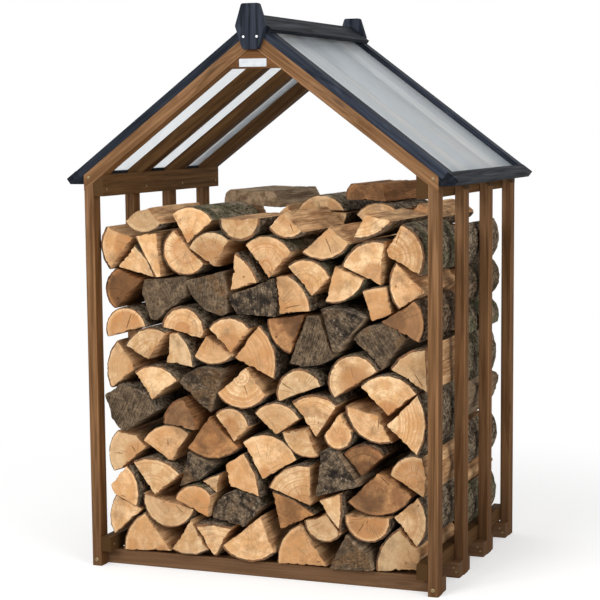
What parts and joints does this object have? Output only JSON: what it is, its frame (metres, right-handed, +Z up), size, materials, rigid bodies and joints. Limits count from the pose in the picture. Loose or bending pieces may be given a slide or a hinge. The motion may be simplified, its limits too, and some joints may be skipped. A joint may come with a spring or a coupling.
{
  "type": "log store",
  "caption": "Open timber log store with a gabled roof of translucent sheet in dark trims, slatted sides and a stack of split firewood",
  "frame": {"origin": "on the ground, under the middle of the store", "axes": "+X across the store to its right seen from the front, +Y from front to back, +Z up"},
  "size_m": [1.2146, 0.8764, 1.675],
  "materials": {
    "post_timber": "brown stained softwood",
    "rafter_timber": "brown stained softwood",
    "rail_timber": "brown stained softwood",
    "dark_trim": "anthracite paint on timber",
    "roof_sheet": "translucent fluted sheet",
    "name_plate": "bare white plate",
    "firewood": "fresh split firewood, sawn ends",
    "brown_firewood": "split firewood with brown ends",
    "weathered_firewood": "split firewood with grey weathered ends"
  },
  "bodies": {
    "root": {"front_bearer": "rail_timber", "front_brown_logs": "brown_firewood", "front_finial": "dark_trim", "front_gusset": "rail_timber", "front_high_logs": "firewood", "front_low_logs": "firewood", "front_weathered_logs": "weathered_firewood", "left_eave_board": "dark_trim", "left_front_barge_board": "dark_trim", "left_front_post": "post_timber", "left_front_rafter": "rafter_timber", "left_low_rail": "rail_timber", "left_rear_barge_board": "dark_trim", "left_rear_post": "post_timber", "left_rear_rafter": "rafter_timber", "left_ridge_cap": "dark_trim", "left_roof_sheet": "roof_sheet", "left_second_post": "post_timber", "left_second_rafter": "rafter_timber", "left_third_post": "post_timber", "left_third_rafter": "rafter_timber", "left_top_rail": "rail_timber", "name_plate": "name_plate", "rear_bearer": "rail_timber", "rear_brown_logs": "brown_firewood", "rear_finial": "dark_trim", "rear_gusset": "rail_timber", "rear_high_logs": "firewood", "rear_low_logs": "firewood", "rear_weathered_logs": "weathered_firewood", "right_eave_board": "dark_trim", "right_front_barge_board": "dark_trim", "right_front_post": "post_timber", "right_front_rafter": "rafter_timber", "right_low_rail": "rail_timber", "right_rear_barge_board": "dark_trim", "right_rear_post": "post_timber", "right_rear_rafter": "rafter_timber", "right_ridge_cap": "dark_trim", "right_roof_sheet": "roof_sheet", "right_second_post": "post_timber", "right_second_rafter": "rafter_timber", "right_third_post": "post_timber", "right_third_rafter": "rafter_timber", "right_top_rail": "rail_timber", "second_batten": "rail_timber", "second_bearer": "rail_timber", "third_batten": "rail_timber", "third_bearer": "rail_timber"}
  },
  "joints": []
}
